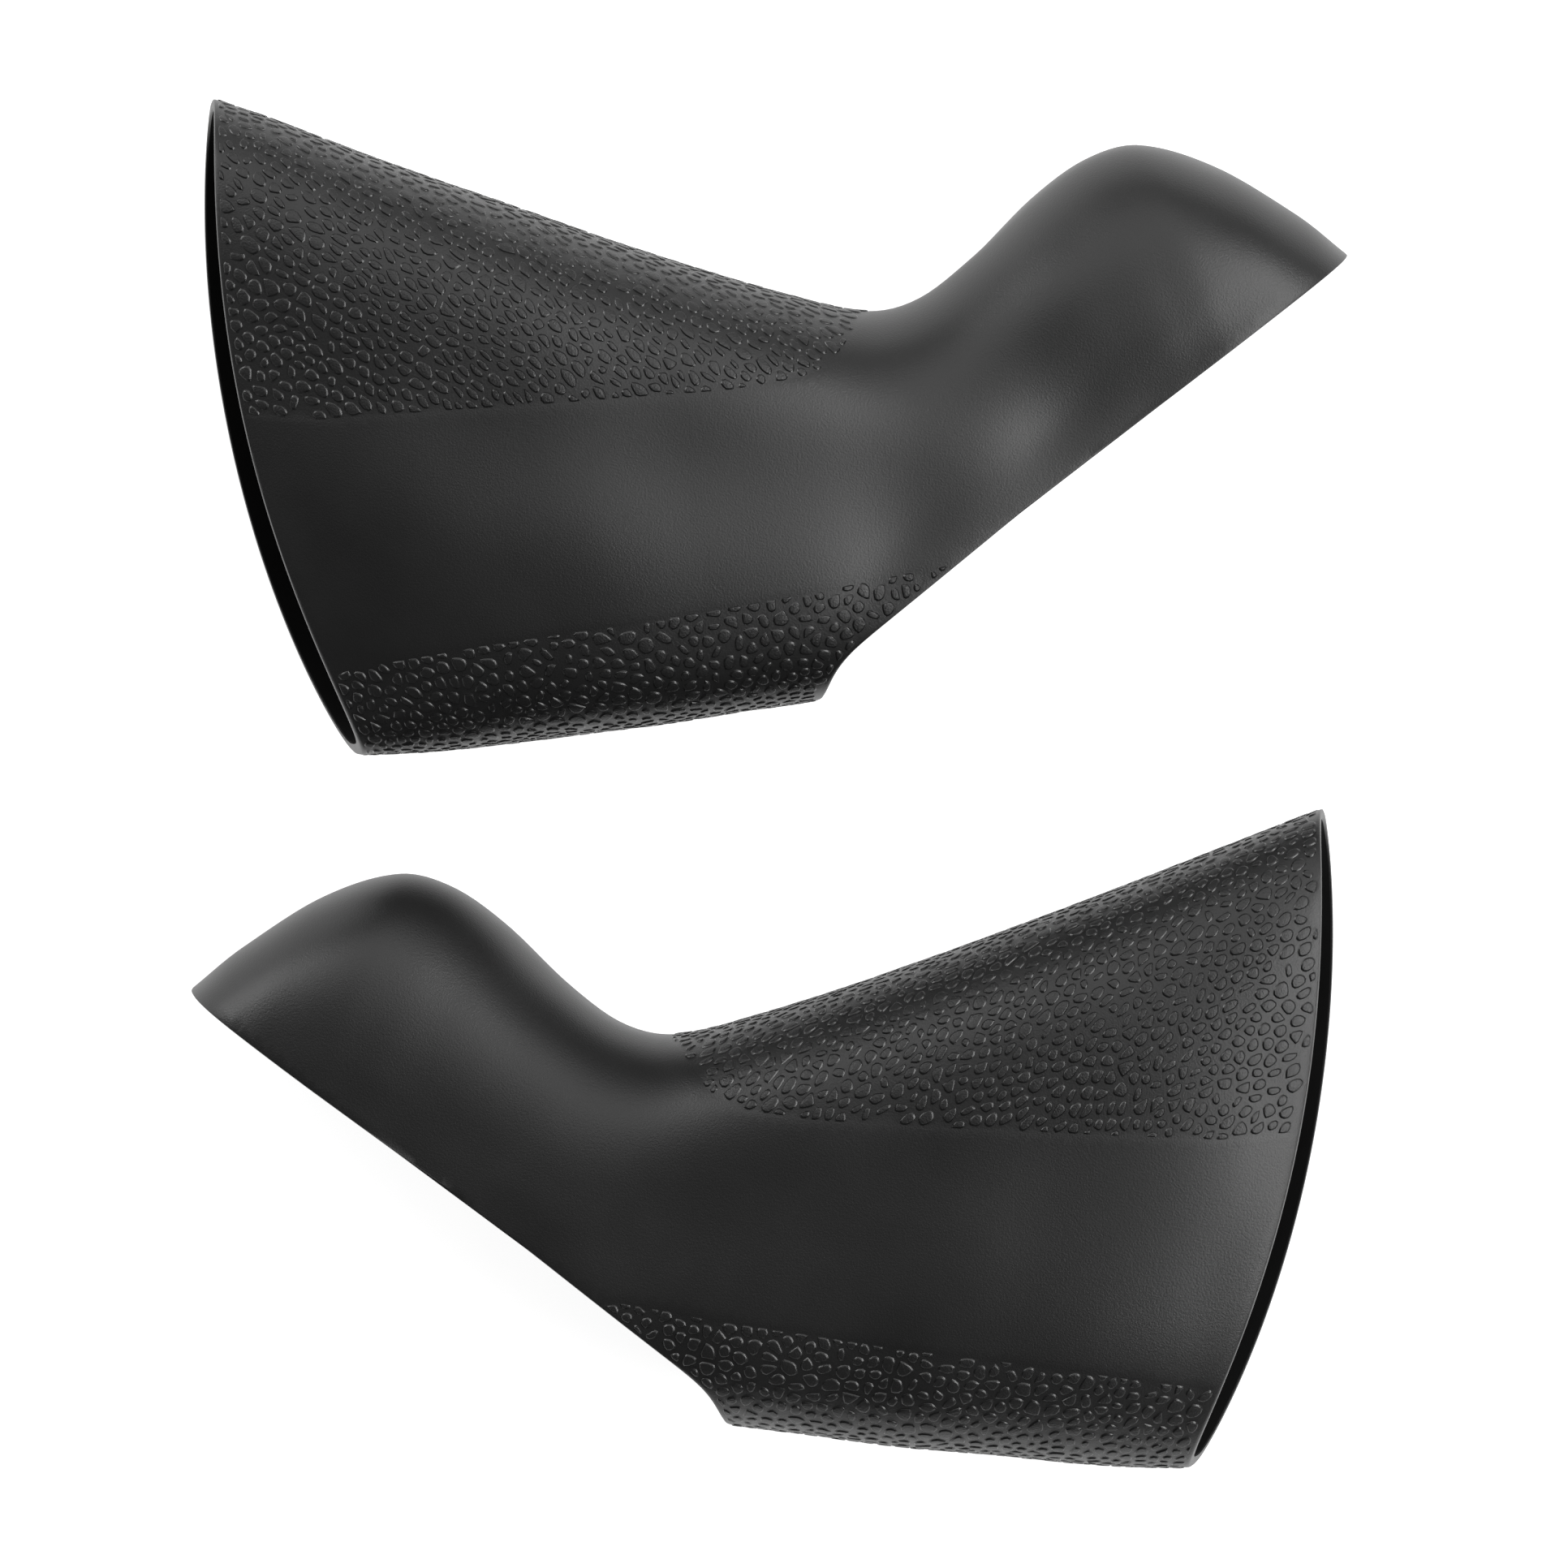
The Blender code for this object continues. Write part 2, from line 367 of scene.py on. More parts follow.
def even_angles(rim, first, last):
    """Angles along a rim from first to last, at even spacing on the outer skin."""
    dense = np.linspace(first, last, 1500)
    points = skin(rim(dense, RIM_ROUND), dense)
    return first + (last - first) * resample(points, EDGE_SPACING)


def rim_angles(over, under):
    """Angles all the way round a rim, from those over the top and those around the bottom."""
    angles = np.concatenate([over, under[1:-1]])
    return np.where(angles > PI, angles - 2 * PI, angles)


# ---------------------------------------------------------------- mesh under construction

class Build:
    """Vertices as places on a skin with a level above it, faces, and a flat place for each face corner.

    Each rim is kept as its angles, its station function, its outer and inner loops of vertex numbers, and
    whether its faces are flipped.
    """

    def __init__(self):
        self.station = []
        self.angle = []
        self.level = []
        self.inner = []
        self.finish = []
        self.faces = []
        self.flats = []
        self.rims = []

    def add(self, station, angle, level, inner=False, finish=SMOOTH):
        """Add vertices and return their numbers."""
        first = len(self.station)
        station = np.atleast_1d(station)
        self.station.extend(station)
        self.angle.extend(np.broadcast_to(angle, station.shape))
        self.level.extend(np.broadcast_to(level, station.shape))
        self.inner.extend(np.broadcast_to(inner, station.shape))
        self.finish.extend(np.broadcast_to(finish, station.shape))
        return np.arange(first, len(self.station))


def fill_chart(build, chart, loops, free, level, inner, flip, offset):
    """Triangulate a chart inside its first loop, around the closed loops that follow, through free points.

    Each loop is a list of vertex numbers and whether it is closed. Triangles whose corners all lie on one
    of the later closed loops are left out, because a pebble stands there. The offset is the chart's place
    in the UV layer.
    """
    station, angle = np.array(build.station), np.array(build.angle)
    numbers, edges, owner = [], [], []
    for which, (loop, closed) in enumerate(loops):
        first = len(numbers)
        numbers.extend(loop)
        owner.extend([which if closed else 0] * len(loop))
        last = len(loop) if closed else len(loop) - 1
        edges.extend((first + k, first + (k + 1) % len(loop)) for k in range(last))
    numbers = np.array(numbers)
    flat = chart.unroll(station[numbers], angle[numbers])
    if len(free):
        free_station, free_angle = chart.roll(free)
        extra = build.add(free_station, free_angle, level, inner)
        numbers = np.concatenate([numbers, extra])
        owner.extend([0] * len(extra))
        flat = np.vstack([flat, free])
    points, _, triangles, origins, _, _ = delaunay_2d_cdt([Vector(p) for p in flat], edges, [], 1, 1e-6)
    final = []
    owners = []
    for point, sources in zip(points, origins):
        if sources:
            final.append(numbers[sources[0]])
            owners.append(owner[sources[0]])
        else:
            new_station, new_angle = chart.roll(np.array([point]))
            final.append(build.add(new_station, new_angle, level, inner)[0])
            owners.append(0)
    for a, b, c in triangles:
        if owners[a] == owners[b] == owners[c] and owners[a] > 0:
            continue
        corners = (a, c, b) if flip else (a, b, c)
        build.faces.append(tuple(int(final[k]) for k in corners))
        build.flats.append([(points[k][0] + offset[0], points[k][1] + offset[1]) for k in corners])


def hex_points(low, high, spacing):
    """A grid of points in rows that are shifted by half a step."""
    rows = np.arange(low[1], high[1], spacing * 0.866)
    columns = np.arange(low[0], high[0], spacing)
    along, across = np.meshgrid(columns, rows)
    along = along + np.where(np.arange(len(rows)) % 2, spacing / 2, 0)[:, None]
    return np.column_stack([along.ravel(), across.ravel()])


def neighbours(cells, i, j):
    """Everything in one cell of a grid and in the cells around it."""
    for a in (i - 1, i, i + 1):
        for b in (j - 1, j, j + 1):
            yield from cells.get((a, b), ())


def far_from(points, lines, distance):
    """Mask of the points that keep a distance from every point of the lines."""
    cells = {}
    for p in lines:
        cells.setdefault((int(p[0] // distance), int(p[1] // distance)), []).append(p)
    keep = np.ones(len(points), bool)
    for number, p in enumerate(points):
        for q in neighbours(cells, int(p[0] // distance), int(p[1] // distance)):
            if (p[0] - q[0]) ** 2 + (p[1] - q[1]) ** 2 < distance**2:
                keep[number] = False
    return keep


# ---------------------------------------------------------------- pebbles

def scatter(low, high, pitch, rng):
    """Seeds no closer to each other than the pitch, thrown at random."""
    cells, seeds = {}, []
    area = (high[0] - low[0]) * (high[1] - low[1])
    for _ in range(int(area / pitch**2 * THROWS)):
        x, y = rng.uniform(low[0], high[0]), rng.uniform(low[1], high[1])
        i, j = int(x // pitch), int(y // pitch)
        if all((x - q[0]) ** 2 + (y - q[1]) ** 2 >= pitch**2 for q in neighbours(cells, i, j)):
            cells.setdefault((i, j), []).append((x, y))
            seeds.append((x, y))
    return np.array(seeds)


def clip(polygon, px, py, nx, ny):
    """The part of a convex polygon on the side of a line that the normal points to."""
    result = []
    previous = polygon[-1]
    side_before = (previous[0] - px) * nx + (previous[1] - py) * ny
    for point in polygon:
        side = (point[0] - px) * nx + (point[1] - py) * ny
        if (side > 0) != (side_before > 0):
            t = side_before / (side_before - side)
            x = previous[0] + (point[0] - previous[0]) * t
            y = previous[1] + (point[1] - previous[1]) * t
            result.append((x, y))
        if side > 0:
            result.append(point)
        previous, side_before = point, side
    return result


def trim_to_borders(polygon, borders):
    """The part of a convex polygon inside the borders, cut by tangents where it sticks out most.

    Each border is its points, their inward normals and the gap that pebbles keep to it.
    """
    for points, normals, margin in borders:
        for _ in range(4):
            if len(polygon) < 3:
                return polygon
            corners = np.array(polygon)
            reach = points[None, :, :] - corners[:, None, :]
            nearest = np.argmin((reach**2).sum(axis=2), axis=1)
            depth = ((corners - points[nearest]) * normals[nearest]).sum(axis=1) - margin
            worst = int(np.argmin(depth))
            if depth[worst] > -1e-4:
                break
            place = nearest[worst]
            px, py = points[place] + normals[place] * margin
            polygon = clip(polygon, px, py, *normals[place])
    return polygon


def rounded(polygon, count):
    """A convex polygon with its corners drawn in and cut, as a given number of even points."""
    points = np.array(polygon)
    middle = points.mean(axis=0)
    reach = np.linalg.norm(points - middle, axis=1)[:, None]
    even = math.sqrt(abs(polygon_area(points)) / PI)
    points = middle + (points - middle) * np.where(reach > even, 0.5 + 0.5 * even / reach, 1.0)
    for _ in range(3):
        following = np.roll(points, -1, axis=0)
        points = np.stack([points * 0.76 + following * 0.24, points * 0.24 + following * 0.76], axis=1)
        points = points.reshape(-1, 2)
    closed = np.vstack([points, points[:1]])
    way = np.concatenate([[0], np.cumsum(np.linalg.norm(np.diff(closed, axis=0), axis=1))])
    at = np.arange(count) / count * way[-1]
    return np.column_stack([np.interp(at, way, closed[:, 0]), np.interp(at, way, closed[:, 1])])


def polygon_area(points):
    """Area of a polygon, negative if its points run clockwise."""
    following = np.roll(points, -1, axis=0)
    return 0.5 * float(np.sum(points[:, 0] * following[:, 1] - points[:, 1] * following[:, 0]))


def cell_around(number, seeds, cells, half_grooves):
    """A seed's own convex cell, half a groove short of the line halfway to each neighbour."""
    x, y = seeds[number]
    polygon = []
    for across, up in ((-1, -1), (1, -1), (1, 1), (-1, 1)):
        polygon.append((x + LARGEST_REACH * across, y + LARGEST_REACH * up))
    for other in neighbours(cells, int(x // NEIGHBOUR_REACH), int(y // NEIGHBOUR_REACH)):
        dx, dy = x - seeds[other][0], y - seeds[other][1]
        distance = math.hypot(dx, dy)
        if other == number or distance > NEIGHBOUR_REACH:
            continue
        nx, ny = dx / distance, dy / distance
        shift = (half_grooves[number] + half_grooves[other]) / 2 - distance / 2
        polygon = clip(polygon, x + nx * shift, y + ny * shift, nx, ny)
    return polygon


def squeezed(polygon, x, y, half_width, direction):
    """A convex polygon around a seed, cut to a narrow band across a direction."""
    nx, ny = math.cos(direction), math.sin(direction)
    for way in (1, -1):
        if len(polygon) > 2:
            reach = half_width * way
            polygon = clip(polygon, x - nx * reach, y - ny * reach, nx * way, ny * way)
    return polygon


def pebble_outlines(seeds, inside, borders, rng):
    """Rounded cells around the seeds that lie inside, trimmed by the borders, with the pebbles' heights."""
    cells = {}
    for number, (x, y) in enumerate(seeds):
        cell = (int(x // NEIGHBOUR_REACH), int(y // NEIGHBOUR_REACH))
        cells.setdefault(cell, []).append(number)
    half_grooves = [rng.uniform(*HALF_GROOVES) for _ in seeds]
    outlines = []
    for number, (x, y) in enumerate(seeds):
        direction, squeeze, lift = rng.uniform(0, PI), rng.uniform(0.0, 1.0), rng.uniform(*HEIGHTS)
        if not inside[number]:
            continue
        polygon = trim_to_borders(cell_around(number, seeds, cells, half_grooves), borders)
        if squeeze < SQUEEZED_SHARE:
            polygon = squeezed(polygon, x, y, NARROWEST + squeeze * 0.6, direction)
        if len(polygon) < 3:
            continue
        dense = rounded(polygon, OUTLINE_POINTS)
        if abs(polygon_area(dense)) >= SMALLEST_AREA:
            outlines.append((dense, lift))
    return outlines


def place_pebble(build, chart, dense, lift, flip, offset):
    """Raise one pebble, in rings up to a flat top. Returns its foot ring."""
    centre = dense.mean(axis=0)
    is_hidden = skin(*chart.roll(centre[None, :]))[0, 2] < HIDDEN_BELOW
    radius = math.sqrt(abs(polygon_area(dense)) / PI)
    sides = HIDDEN_SIDES if is_hidden else SMALL_SIDES if radius < SMALL_RADIUS else LARGE_SIDES
    outline = dense[:: OUTLINE_POINTS // sides]
    if polygon_area(outline) < 0:
        outline = outline[::-1]
    rings = []
    for inset, height in PLAIN_PROFILE if is_hidden else PROFILE:
        flat = centre + (outline - centre) * (1 - inset / radius)
        station, angle = chart.roll(flat)
        finish = {0.0: SMOOTH, 1.0: PEBBLE_TOP}.get(height, POLISHED)
        rings.append((build.add(station, angle, height * lift - PATCH_DEPTH, finish=finish), flat))
    station, angle = chart.roll(centre[None, :])
    middle = build.add(station, angle, lift - PATCH_DEPTH, finish=PEBBLE_TOP)[0]
    count = len(outline)
    for (ring, flat), (next_ring, next_flat) in zip(rings, rings[1:]):
        for k in range(count):
            m = (k + 1) % count
            lower = [(ring[k], flat[k]), (ring[m], flat[m])]
            upper = [(next_ring[m], next_flat[m]), (next_ring[k], next_flat[k])]
            add_face(build, lower + upper, flip, offset)
    ring, flat = rings[-1]
    for k in range(count):
        m = (k + 1) % count
        add_face(build, [(ring[k], flat[k]), (ring[m], flat[m]), (middle, centre)], flip, offset)
    return rings[0][0]


def add_face(build, corners, flip, offset):
    """Add a face from (vertex, flat place) corners."""
    if flip:
        corners = corners[::-1]
    build.faces.append(tuple(int(vertex) for vertex, _ in corners))
    build.flats.append([(flat[0] + offset[0], flat[1] + offset[1]) for _, flat in corners])


def inward_normals(points, toward):
    """Normals of a line of points, on the side of a given place."""
    tangent = np.gradient(points, axis=0)
    normal = np.column_stack([-tangent[:, 1], tangent[:, 0]])
    normal /= np.linalg.norm(normal, axis=1)[:, None]
    middle = points[len(points) // 2]
    if np.dot(normal[len(points) // 2], np.asarray(toward) - middle) < 0:
        normal = -normal
    return normal


# ---------------------------------------------------------------- one hood

def split_line(edge, inner, ends):
    """The line between the two charts on one side, from the rear rim to the front cut.

    The ends are the (station, angle) of each.
    """
    if inner:
        (rear_s, rear_a), (front_s, front_a) = ends
        count = max(int((front_s - rear_s) / INNER_SPACING), 2)
        share = np.linspace(0, 1, count + 1)
        bow = SPLIT_BOW * np.sin(PI * share)
        return rear_s + (front_s - rear_s) * share, rear_a + (front_a - rear_a) * share - bow
    (rear_s, _), (front_s, _) = ends
    dense = np.linspace(rear_s, front_s, 800)
    angles = edge_angle(dense, edge)
    where = resample(skin(dense, angles), EDGE_SPACING)
    station = rear_s + (front_s - rear_s) * where
    return station, edge_angle(station, edge)


def meeting_points(edge):
    """Where a lower patch edge meets the rear rim and the front cut: (station, angle) of each."""
    low, high = np.array([-11.0]), np.array([25.0])
    rear = bisect(lambda s: rear_clearance(skin(s, edge_angle(s, edge))) - RIM_ROUND, low, high)
    low, high = np.array([45.0]), np.array([110.0])
    front = bisect(lambda s: RIM_ROUND - front_clearance(skin(s, edge_angle(s, edge))), low, high)
    return (rear[0], edge_angle(rear, edge)[0]), (front[0], edge_angle(front, edge)[0])


# Each rim's name and the function that gives its station.
RIMS = {"rear": rear_station, "front": front_station}


def make_shell(seed):
    """The closed mesh of a hood, as a Build, with its rims."""
    rng = random.Random(seed)
    build = Build()
    ends = {1: meeting_points(LOWER_EDGE), -1: meeting_points(LOWER_EDGE_INNER_SIDE)}
    edges = {1: LOWER_EDGE, -1: LOWER_EDGE_INNER_SIDE}
    rims = {}
    for which, (name, rim) in enumerate(RIMS.items()):
        near, far = ends[1][which][1], ends[-1][which][1]
        rims[name] = (even_angles(rim, -far, near), even_angles(rim, near, 2 * PI - far))
    outer_loops = make_skin(build, rims, edges, False, rng)
    inner_loops = make_skin(build, rims, edges, True, rng)
    for name, rim in RIMS.items():
        angles = rim_angles(*rims[name])
        build.rims.append((angles, rim, outer_loops[name], inner_loops[name], name == "front"))
    return build


def make_skin(build, rims, edges, inner, rng):
    """One skin: the chart over the top and the chart around the bottom. Returns the rim loops."""
    loops = {}
    over_numbers, under_numbers = {}, {}
    for name, rim in RIMS.items():
        over, under = rims[name]
        angles = rim_angles(over, under)
        numbers = build.add(rim(angles, RIM_ROUND, inner), angles, 0.0, inner)
        loops[name] = numbers
        over_numbers[name] = numbers[: len(over)]
        under_numbers[name] = np.concatenate([numbers[len(over) - 1 :], numbers[:1]])
    splits = {}
    for side in (1, -1):
        corners = [over_numbers[name][-1 if side == 1 else 0] for name in RIMS]
        ends = [(build.station[corner], abs(build.angle[corner])) for corner in corners]
        station, angle = split_line(edges[side], inner, ends)
        middle = build.add(station[1:-1], side * angle[1:-1], 0.0, inner)
        splits[side] = np.concatenate([corners[:1], middle, corners[1:]])
    over_loop = np.concatenate([
        over_numbers["rear"], splits[1][1:-1], over_numbers["front"][::-1], splits[-1][::-1][1:-1],
    ])
    under_loop = np.concatenate([
        under_numbers["rear"], splits[-1][1:-1], under_numbers["front"][::-1], splits[1][::-1][1:-1],
    ])
    if inner:
        fill_inner(build, TopChart, over_loop, False, INNER_TOP_PLACE)
        fill_inner(build, LowChart, under_loop, True, INNER_LOW_PLACE)
    else:
        fill_top(build, over_loop, rng)
        fill_patch(build, under_loop, splits, under_numbers, rng)
    return loops


def inside_loop(points, loop):
    """Mask of the points inside a closed loop, by counting crossings."""
    inside = np.zeros(len(points), bool)
    following = np.roll(loop, -1, axis=0)
    for (x0, y0), (x1, y1) in zip(loop, following):
        if y0 == y1:
            continue
        crosses = (points[:, 1] > y0) != (points[:, 1] > y1)
        at = x0 + (points[:, 1] - y0) * (x1 - x0) / (y1 - y0)
        inside ^= crosses & (points[:, 0] < at)
    return inside


def longest_run(points, keep):
    """The longest unbroken run of kept points of a line."""
    runs, run = [], []
    for point, is_kept in zip(points, keep):
        if is_kept:
            run.append(point)
        else:
            runs.append(run)
            run = []
    return np.array(max([*runs, run], key=len))


def flat_places(build, chart, numbers):
    """Chart places of vertices."""
    return chart.unroll(np.array(build.station)[numbers], np.array(build.angle)[numbers])


def fill_inner(build, chart, loop, flip, offset):
    """Fill a loop of the inner skin with an even grid of triangles."""
    outline = flat_places(build, chart, loop)
    free = hex_points(outline.min(axis=0), outline.max(axis=0), INNER_SPACING)
    free = free[inside_loop(free, outline)]
    free = free[far_from(free, outline, INNER_SPACING * 0.5)]
    fill_chart(build, chart, [(loop, True)], free, 0.0, True, flip, offset)


# The upper grip patch in the top chart: the stations of its edge, a place in its middle, a field that its
# seeds are thrown over, and the angle to each side of the top that its rear end spans at most.
PATCH_STATIONS = (-9.0, 70.2)
PATCH_MIDDLE = (20.0, 0.0)
PATCH_FIELD = ((-9.0, -46.0), (71.0, 46.0))
PATCH_SPAN = 1.6


def upper_edges(chart, outline):
    """The upper patch's edge on the near side and on the far side, in the chart and inside the outline."""
    station = np.linspace(*PATCH_STATIONS, 900)
    way = chart.unroll(station, edge_angle(station, UPPER_EDGE))
    even = resample(way, EDGE_SPACING)
    line = np.column_stack([np.interp(even, np.linspace(0, 1, len(way)), way[:, k]) for k in (0, 1)])
    edges = []
    for mirrored in (line, line * (1, -1)):
        is_clear = inside_loop(mirrored, outline) & far_from(mirrored, outline, UPPER_STEP_END)
        edges.append(longest_run(mirrored, is_clear))
    return edges


def fill_top(build, loop, rng):
    """The skin over the top: smooth nose and flanks, and the upper grip patch with its pebbles."""
    chart = TopChart
    outline = flat_places(build, chart, loop)
    near, far = upper_edges(chart, outline)
    edge = np.vstack([near, far[::-1]])
    normals = inward_normals(edge, PATCH_MIDDLE)
    lines = []
    step_lines = []
    for distance, level in ((0.0, 0.0), (STEP_WIDTH, -PATCH_DEPTH)):
        flat = edge + normals * distance
        line_station, line_angle = chart.roll(flat)
        lines.append((build.add(line_station, line_angle, level), False))
        step_lines.append(flat)
    rear_angles = np.linspace(-PATCH_SPAN, PATCH_SPAN, 300)
    rear_line = chart.unroll(rear_station(rear_angles, RIM_ROUND), rear_angles)
    across = rear_line[:, 1]
    patch = np.vstack([rear_line[(across < near[0, 1]) & (across > far[0, 1])], edge])
    seeds = scatter(*PATCH_FIELD, PEBBLE_PITCH, rng)
    is_inside = inside_loop(seeds, patch)
    borders = [
        (edge, normals, STEP_WIDTH + STEP_GAP),
        (rear_line, inward_normals(rear_line, PATCH_MIDDLE), REAR_GAP),
    ]
    for dense, lift in pebble_outlines(seeds, is_inside, borders, rng):
        lines.append((place_pebble(build, chart, dense, lift, True, TOP_PLACE), True))
    free = hex_points(outline.min(axis=0), outline.max(axis=0), SMOOTH_SPACING)
    free = free[inside_loop(free, outline) & ~inside_loop(free, patch)]
    free = free[far_from(free, np.vstack([outline, *step_lines]), SMOOTH_SPACING * 0.5)]
    fill_chart(build, chart, [(loop, True), *lines], free, 0.0, False, True, TOP_PLACE)


def fill_patch(build, loop, splits, under_numbers, rng):
    """The skin around the bottom: the lower grip patch, pebbled all over."""
    chart = LowChart
    outline = flat_places(build, chart, loop)
    middle = outline.mean(axis=0)
    rim_places = flat_places(build, chart, np.concatenate(list(under_numbers.values())))
    lines = []
    borders = []
    for side in (1, -1):
        line = flat_places(build, chart, splits[side])
        normals = inward_normals(line, middle)
        flat = (line + normals * STEP_WIDTH)[1:-1]
        is_clear = inside_loop(flat, outline) & far_from(flat, rim_places, LOWER_STEP_END)
        flat = longest_run(flat, is_clear)
        line_station, line_angle = chart.roll(flat)
        lines.append((build.add(line_station, line_angle, -PATCH_DEPTH), False))
        borders.append((line, normals, STEP_WIDTH + STEP_GAP))
    for name in RIMS:
        line = flat_places(build, chart, under_numbers[name])
        borders.append((line, inward_normals(line, middle), LOW_RIM_GAP))
    low, high = outline.min(axis=0), outline.max(axis=0)
    seeds = scatter(low, high, PEBBLE_PITCH, rng)
    is_inside = inside_loop(seeds, outline)
    for dense, lift in pebble_outlines(seeds, is_inside, borders, rng):
        lines.append((place_pebble(build, chart, dense, lift, False, PATCH_PLACE), True))
    free = np.zeros((0, 2))
    fill_chart(build, chart, [(loop, True), *lines], free, -PATCH_DEPTH, False, False, PATCH_PLACE)


def softness(name, points):
    """How far the soft upper side swells at each point. It fades out toward the rims and the far side."""
    x, y = points[:, 0], points[:, 1]
    height = np.zeros(len(points))
    for dent_x, dent_y, reach_x, reach_y, swell in DENTS[name]:
        height += swell * np.exp(-(((x - dent_x) / reach_x) ** 2 + ((y - dent_y) / reach_y) ** 2) / 2)
    for degrees, wavelength, swell, phase in WAVES:
        direction = math.radians(degrees)
        way = x * math.cos(direction) + y * math.sin(direction)
        height += swell * np.sin(2 * PI * way / wavelength + phase)
    for distance in (rear_clearance(points), front_clearance(points), points[:, 2]):
        share = np.clip(distance / DENT_FADE, 0, 1)
        height *= share**2 * (3 - 2 * share)
    return height


def surface_points(build, name):
    """Positions of the build's vertices in the side view."""
    station, angle = np.array(build.station), np.array(build.angle)
    level, inner = np.array(build.level), np.array(build.inner)
    normals = skin_normals(station, angle)
    outer_points = skin(station, angle)
    level = np.where(inner, 0.0, level + softness(name, outer_points))
    points = np.where(inner[:, None], skin(station, angle, True), outer_points)
    return points + normals * level[:, None]


def rim_rows(build, points):
    """Rows of points from the outer skin over the rim to the inner skin, and the faces between them."""
    rows_out, faces, flats = [], [], []
    first = len(points)
    for number, (angles, rim, outer_loop, inner_loop, flip) in enumerate(build.rims):
        outer_cut = skin(rim(angles, 0.0), angles)
        inner_cut = skin(rim(angles, 0.0, True), angles, True)
        wall = np.linalg.norm(outer_cut - inner_cut, axis=1)[:, None]
        share = np.minimum(RIM_ROUND / wall, MOST_ROUND)
        outer_face = outer_cut + (inner_cut - outer_cut) * share
        inner_face = inner_cut + (outer_cut - inner_cut) * share
        outer_round = points[outer_loop] * 0.25 + outer_cut * 0.5 + outer_face * 0.25
        inner_round = points[inner_loop] * 0.25 + inner_cut * 0.5 + inner_face * 0.25
        rings = [outer_loop]
        for row in (outer_round, outer_face, inner_face, inner_round):
            rings.append(np.arange(first, first + len(row)))
            first += len(row)
            rows_out.append(row)
        rings.append(inner_loop)
        count = len(angles)
        for level, (ring, next_ring) in enumerate(zip(rings, rings[1:])):
            for k in range(count):
                m = (k + 1) % count
                corners = (ring[k], next_ring[k], next_ring[m], ring[m])
                left = RIM_PLACE[0] + k * EDGE_SPACING
                right = left + EDGE_SPACING
                base = RIM_PLACE[1] + number * len(rings) + level
                top = base + RIM_ROW_HEIGHT
                flat = [(left, base), (left, top), (right, top), (right, base)]
                if flip:
                    corners, flat = corners[::-1], flat[::-1]
                faces.append(tuple(int(c) for c in corners))
                flats.append(flat)
    return np.vstack([points, *rows_out]), faces, flats


def placed(points, name, side, turn):
    """Points of the side view, moved to where the CAD node of that name lies."""
    turned = Matrix.Rotation(math.radians(turn), 3, "Z")
    rolled = Matrix.Rotation(math.radians(REST_ROLL), 3, "X")
    tilted = Matrix.Rotation(math.radians(REST_TILT * side), 3, "Y")
    points = points @ np.array(turned @ rolled @ tilted).T * MM
    low, high = (np.array(corner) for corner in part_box(name))
    points += (low + high) / 2 - (points.min(axis=0) + points.max(axis=0)) / 2
    points[:, 2] += low[2] - points[:, 2].min()
    return points


def make_hood(name, side, turn, seed):
    """One hood's mesh object, placed where the CAD node of the same name lies."""
    build = make_shell(seed)
    points = surface_points(build, name)
    points, rim_faces, rim_flats = rim_rows(build, points)
    faces, flats = build.faces + rim_faces, build.flats + rim_flats
    if side < 0:
        points = points * (-1, 1, 1)
        faces = [face[::-1] for face in faces]
        flats = [flat[::-1] for flat in flats]
    points = placed(points, name, side, turn)
    data = bpy.data.meshes.new(name + "_rubber")
    data.from_pydata(points.tolist(), [], faces)
    layer = data.uv_layers.new(name="OFBake")
    uvs = np.array([place for flat in flats for place in flat], dtype=np.float32) / CHART_SIZE
    layer.data.foreach_set("uv", uvs.ravel())
    rim_points = len(points) - len(build.station)
    finish = np.pad(build.finish, (0, rim_points), constant_values=SMOOTH)
    data.attributes.new("finish", "FLOAT", "POINT").data.foreach_set("value", finish)
    data.shade_smooth()
    data.set_sharp_from_angle(angle=math.radians(SHARP_ANGLE))
    inner = np.pad(build.inner, (0, rim_points))
    # Faces of the inner skin take the second material, which paints shade over the hood's inside.
    data.polygons.foreach_set("material_index", [int(inner[list(face)].all()) for face in faces])
    data.update()
    piece = bpy.data.objects.new(name + "_rubber", data)
    bpy.context.collection.objects.link(piece)
    return piece


# ---------------------------------------------------------------- rubber

def socket_range(nodes, low, high):
    """A node that maps 0 to 1, or 0 to its From Max, onto a range."""
    node = nodes.new("ShaderNodeMapRange")
    node.inputs["To Min"].default_value = low
    node.inputs["To Max"].default_value = high
    return node


def noise(nodes, links, place, scale, detail):
    """A noise texture in the object's own space."""
    node = nodes.new("ShaderNodeTexNoise")
    node.inputs["Scale"].default_value = scale
    node.inputs["Detail"].default_value = detail
    links.new(place.outputs["Object"], node.inputs["Vector"])
    return node


